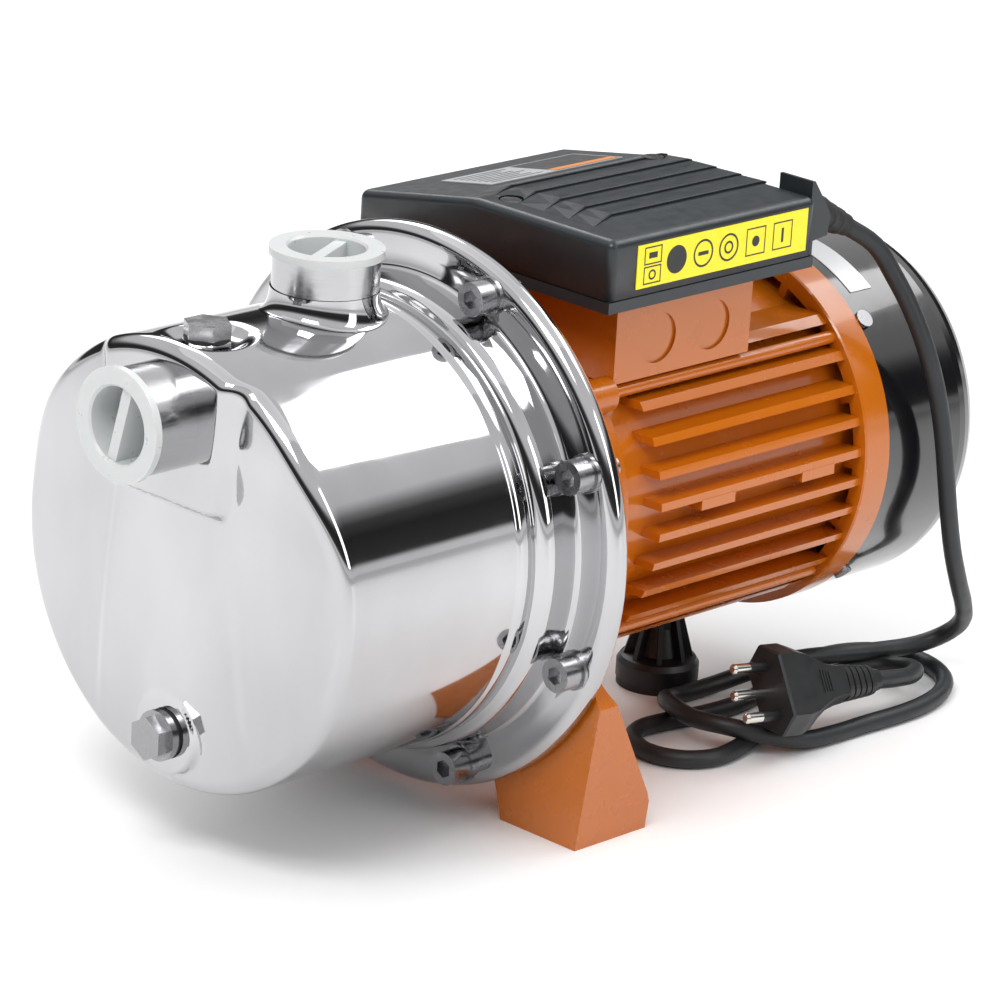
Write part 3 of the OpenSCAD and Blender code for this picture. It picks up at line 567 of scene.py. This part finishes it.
RELIEF_END = (117.271, -53.0, 198.865)
ROUTE = [
    RELIEF_END,
    (130.1, -57.6, 190.1), (136.7, -62.4, 178.7), (142.4, -68.2, 164.9), (146.5, -73.5, 150),
    (151, -76.5, 134), (154.5, -78.5, 117), (158, -79, 100), (162.5, -78.5, 83),
    (169.5, -76.5, 66), (180, -72.5, 50), (192, -66.5, 36.5), (202, -58.5, 25.5),
    (204, -49.5, 17), (196, -42, 12), (181, -35.5, 10.9), (165, -29, 10.9),
    (148, -22.5, 10.9), (131.5, -15.5, 8), (116, -10.5, 4.6), (102, -8.8, 3.6),
    (89, -10.5, 4.8), (77.5, -17, 8.6), (69.5, -28, 10.9), (66.5, -41.5, 10.9),
    (70.5, -55, 10.9), (81, -65.5, 8.2), (95, -71, 4.6), (112, -72.5, 3.6),
    (129, -73, 3.6), (146, -74, 3.6), (162, -73.5, 3.6), (178, -69.5, 3.6),
    (192, -60.5, 3.6), (200, -47, 3.6), (200.5, -32, 3.6), (192, -20, 3.6),
    (177.5, -14, 3.6), (160, -14.5, 3.6), (142, -20, 3.6), (124, -26, 3.6),
    (105, -29, 3.6), (87, -28, 3.6), (70, -24.5, 3.6), (55, -24, 3.6),
    (45, -31, 3.6), (41, -42.5, 3.6), (45, -54, 3.6), (55.5, -61, 3.6),
    (69, -60.5, 3.6), (85, -55.5, 3.6), (102, -49, 3.6), (119, -42, 3.6),
    (136, -35.5, 3.6), (153, -30.5, 3.6), (167, -30.5, 4), (178, -37, 5.5),
    (181, -48, 8), (175.5, -58.5, 10.8), (164.5, -65, 13), (152, -67, 15.2),
    (140.1, -67.13, 17.22),
]


PLUG_AT = Vector((77, -69, 28))
PLUG_DROOP, PLUG_YAW, PLUG_LEAN = (math.radians(a) for a in (9.7, 1.7, 32.3))
PLUG_LEN = 64


def plug():
    """Moulded plug with sleeved outer pins, and a slotted strain relief."""
    turn = (Matrix.Translation(PLUG_AT * MM) @ Matrix.Rotation(PLUG_YAW, 4, "Z")
            @ Matrix.Rotation(PLUG_DROOP, 4, "Y") @ Matrix.Rotation(-PLUG_LEAN, 4, "X"))

    def spot_at(x, y, z):
        return turn @ (Vector((x, y, z)) * MM)

    def hexagon(x, tall, thick, cut_off):
        side = tall - cut_off
        return [spot_at(x, y, z) for y, z in (
            (-thick, -side), (0, -tall), (thick, -side), (thick, side), (0, tall),
            (-thick, side))]

    def oval(x, tall, thick, n=28):
        loop = []
        for k in range(n):
            c, q = math.cos(2 * math.pi * k / n), math.sin(2 * math.pi * k / n)
            loop.append(spot_at(x, thick * math.copysign(abs(c) ** 0.7, c),
                                tall * math.copysign(abs(q) ** 0.7, q)))
        return loop

    body = [hexagon(*section) for section in (
        (0, 17.6, 7.8, 6), (1.2, 18, 8.2, 6), (11, 18, 8.2, 6), (17, 16.2, 8.0, 5.4),
        (23, 12.6, 7.6, 4.2), (29, 9.6, 7.2, 3.2), (35, 8.2, 6.7, 2.4), (40, 7.6, 6.3, 2))]
    relief = [oval(38, 4.8, 4.4)]
    for i in range(5):
        x, tall, thick = 40.8 + 3.9 * i, 7.2 - 0.35 * i, 6.3 - 0.3 * i
        relief += [oval(x, 4.9, 4.4), oval(x, tall, thick), oval(x + 2.6, tall, thick),
                   oval(x + 2.6, 4.9, 4.4)]
    relief += [oval(61.0, 4.6, 4.3), oval(PLUG_LEN, 4.2, 4.2)]
    shapes = [rings(body, cap=True), rings(relief, cap=True)]
    for z in (-9.5, 9.5):
        n = 20
        shapes.append(rings([[spot_at(x, r * math.cos(2 * math.pi * k / n),
                                      z + r * math.sin(2 * math.pi * k / n))
                              for k in range(n)]
                             for x, r in ((0.6, 2), (-9.6, 2), (-10, 1.85), (-10, 1.62),
                                          (-4, 1.62))]))
    for side in (-1, 1):
        for i in range(4):
            x = 22.5 + 1.7 * i
            tall, face = 4.6 - 0.3 * i, 7.3 - 0.10 * i
            shapes.append(rings([[spot_at(x + dx, side * y, z) for dx, z in (
                (0, -tall), (0.8, -tall), (0.8, tall), (0, tall))]
                for y in (face - 0.5, face + 0.75)], cap=True))
    obj = piece("plug_moulding", *join(shapes), LOOK["black_plastic"], "pump",
                replaces=["plug_body"], smooth=False, slot="black_plastic")
    return bevel(obj, 0.7, 3, 22)


def power_cord(plug_piece):
    """Round sheath along the route, a curve that ends at the plug."""
    curve = bpy.data.curves.new("power_cord_sheath", "CURVE")
    curve.dimensions = "3D"
    curve.bevel_depth = 3.5 * MM
    curve.bevel_resolution = 5
    curve.resolution_u = 4
    curve.use_fill_caps = True
    spline = curve.splines.new("BEZIER")
    points = [Vector(p) * MM for p in ROUTE]
    spline.bezier_points.add(len(points) - 1)
    for i, b in enumerate(spline.bezier_points):
        before, after = points[max(i - 1, 0)], points[min(i + 1, len(points) - 1)]
        tangent = (after - before).normalized()
        b.co = points[i]
        b.handle_left_type = b.handle_right_type = "FREE"
        b.handle_left = points[i] - tangent * (points[i] - before).length / 3
        b.handle_right = points[i] + tangent * (after - points[i]).length / 3
    obj = link("power_cord_sheath", curve)
    curve.materials.append(LOOK["cord_rubber"])
    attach(obj, "pump")
    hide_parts("power_cord")


power_cord(plug())

# ---- Stage, lights and camera --------------------------------------------


def stage():
    """Pale floor, and a studio sky that is dark where the steel mirrors a horizon."""
    mesh = bpy.data.meshes.new("floor")
    mesh.from_pydata([(-9, -9, 0), (9, -9, 0), (9, 9, 0), (-9, 9, 0)], [], [(0, 1, 2, 3)])
    floor = link("floor", mesh)
    mesh.materials.append(material("floor_paper", (0.96, 0.96, 0.96), 0.6, 0, tint=0.004,
                                   tint_scale=2, bump=0))
    world = bpy.data.worlds.new("studio")
    bpy.context.scene.world = world
    world.use_nodes = True
    nt = world.node_tree
    back = nt.nodes["Background"]
    coord = nt.nodes.new("ShaderNodeTexCoord")
    split = nt.nodes.new("ShaderNodeSeparateXYZ")
    ramp = nt.nodes.new("ShaderNodeValToRGB")
    stops = ramp.color_ramp.elements
    stops[0].position, stops[0].color = 0.0, (0.9, 0.9, 0.9, 1)
    stops[1].position, stops[1].color = 1.0, (0.7, 0.7, 0.7, 1)
    for place, grey in ((0.03, 0.85), (0.06, 0.05), (0.22, 0.03), (0.30, 0.07),
                        (0.35, 0.26), (0.42, 0.80), (0.6, 0.9), (0.8, 0.85)):
        e = stops.new(place)
        e.color = (grey, grey, grey * 1.01, 1)
    nt.links.new(coord.outputs["Generated"], split.inputs["Vector"])
    nt.links.new(split.outputs["Z"], ramp.inputs["Fac"])
    nt.links.new(ramp.outputs["Color"], back.inputs["Color"])
    back.inputs["Strength"].default_value = 1.0
    bpy.context.scene.view_settings.view_transform = "Standard"


def aim(name, data, place, target):
    """Puts a lamp at a place and points it at a target."""
    obj = link(name, data)
    obj.location = place
    away = Vector(target) - Vector(place)
    obj.rotation_euler = away.to_track_quat("-Z", "Y").to_euler()


def lamp(name, place, target, size, power, size_y=None):
    """A soft rectangular lamp, size in metres and power in watts."""
    data = bpy.data.lights.new(name, "AREA")
    data.shape = "RECTANGLE"
    data.size = size
    data.size_y = size_y or size
    data.energy = power
    aim(name, data, place, target)


def spot(name, place, target, angle, power):
    """A soft pool of light on the floor."""
    data = bpy.data.lights.new(name, "SPOT")
    data.energy = power
    data.spot_size = math.radians(angle)
    data.spot_blend = 1.0
    data.shadow_soft_size = 0.1
    aim(name, data, place, target)


stage()
spot("floor_pool", (-1.3, 0.9, 2.0), (-0.62, 0.42, 0), 30, 16)
lamp("key", (-1.2, -0.5, 1.7), (-0.1, 0, 0.1), 0.9, 20, size_y=0.7)
lamp("front_fill", (0.5, -2.0, 0.9), (0, 0, 0.1), 0.6, 8, size_y=1.4)
lamp("back_rim", (0.8, 1.5, 1.5), (0, 0, 0.1), 0.9, 9)
lamp("floor_wash", (0, 0.4, 2.6), (0, 0.4, 0), 3.2, 12)
lamp("top_strip", (1.15, -0.35, 1.35), (0, 0, 0.1), 1.1, 7, size_y=0.55)


CAMERA_AT = (-1.2680, -1.2024, 0.6876)
CAMERA_YAW, CAMERA_PITCH, CAMERA_ROLL = (math.radians(a) for a in (43.55, -18.6, 3.46))
CAMERA_LENS = 180.42


def camera():
    """The photograph's camera, everything in focus."""
    look = Vector((math.cos(CAMERA_PITCH) * math.cos(CAMERA_YAW),
                   math.cos(CAMERA_PITCH) * math.sin(CAMERA_YAW), math.sin(CAMERA_PITCH)))
    right = Vector((math.sin(CAMERA_YAW), -math.cos(CAMERA_YAW), 0))
    up = right.cross(look)
    x = right * math.cos(CAMERA_ROLL) + up * math.sin(CAMERA_ROLL)
    y = -right * math.sin(CAMERA_ROLL) + up * math.cos(CAMERA_ROLL)
    data = bpy.data.cameras.new("camera")
    data.lens = CAMERA_LENS
    data.sensor_width = 36
    data.clip_end = 100
    turn = Matrix((x, y, -look)).transposed().to_4x4()
    obj = link("camera", data)
    obj.matrix_world = Matrix.Translation(CAMERA_AT) @ turn
    bpy.context.scene.camera = obj


camera()

bpy.context.view_layer.update()
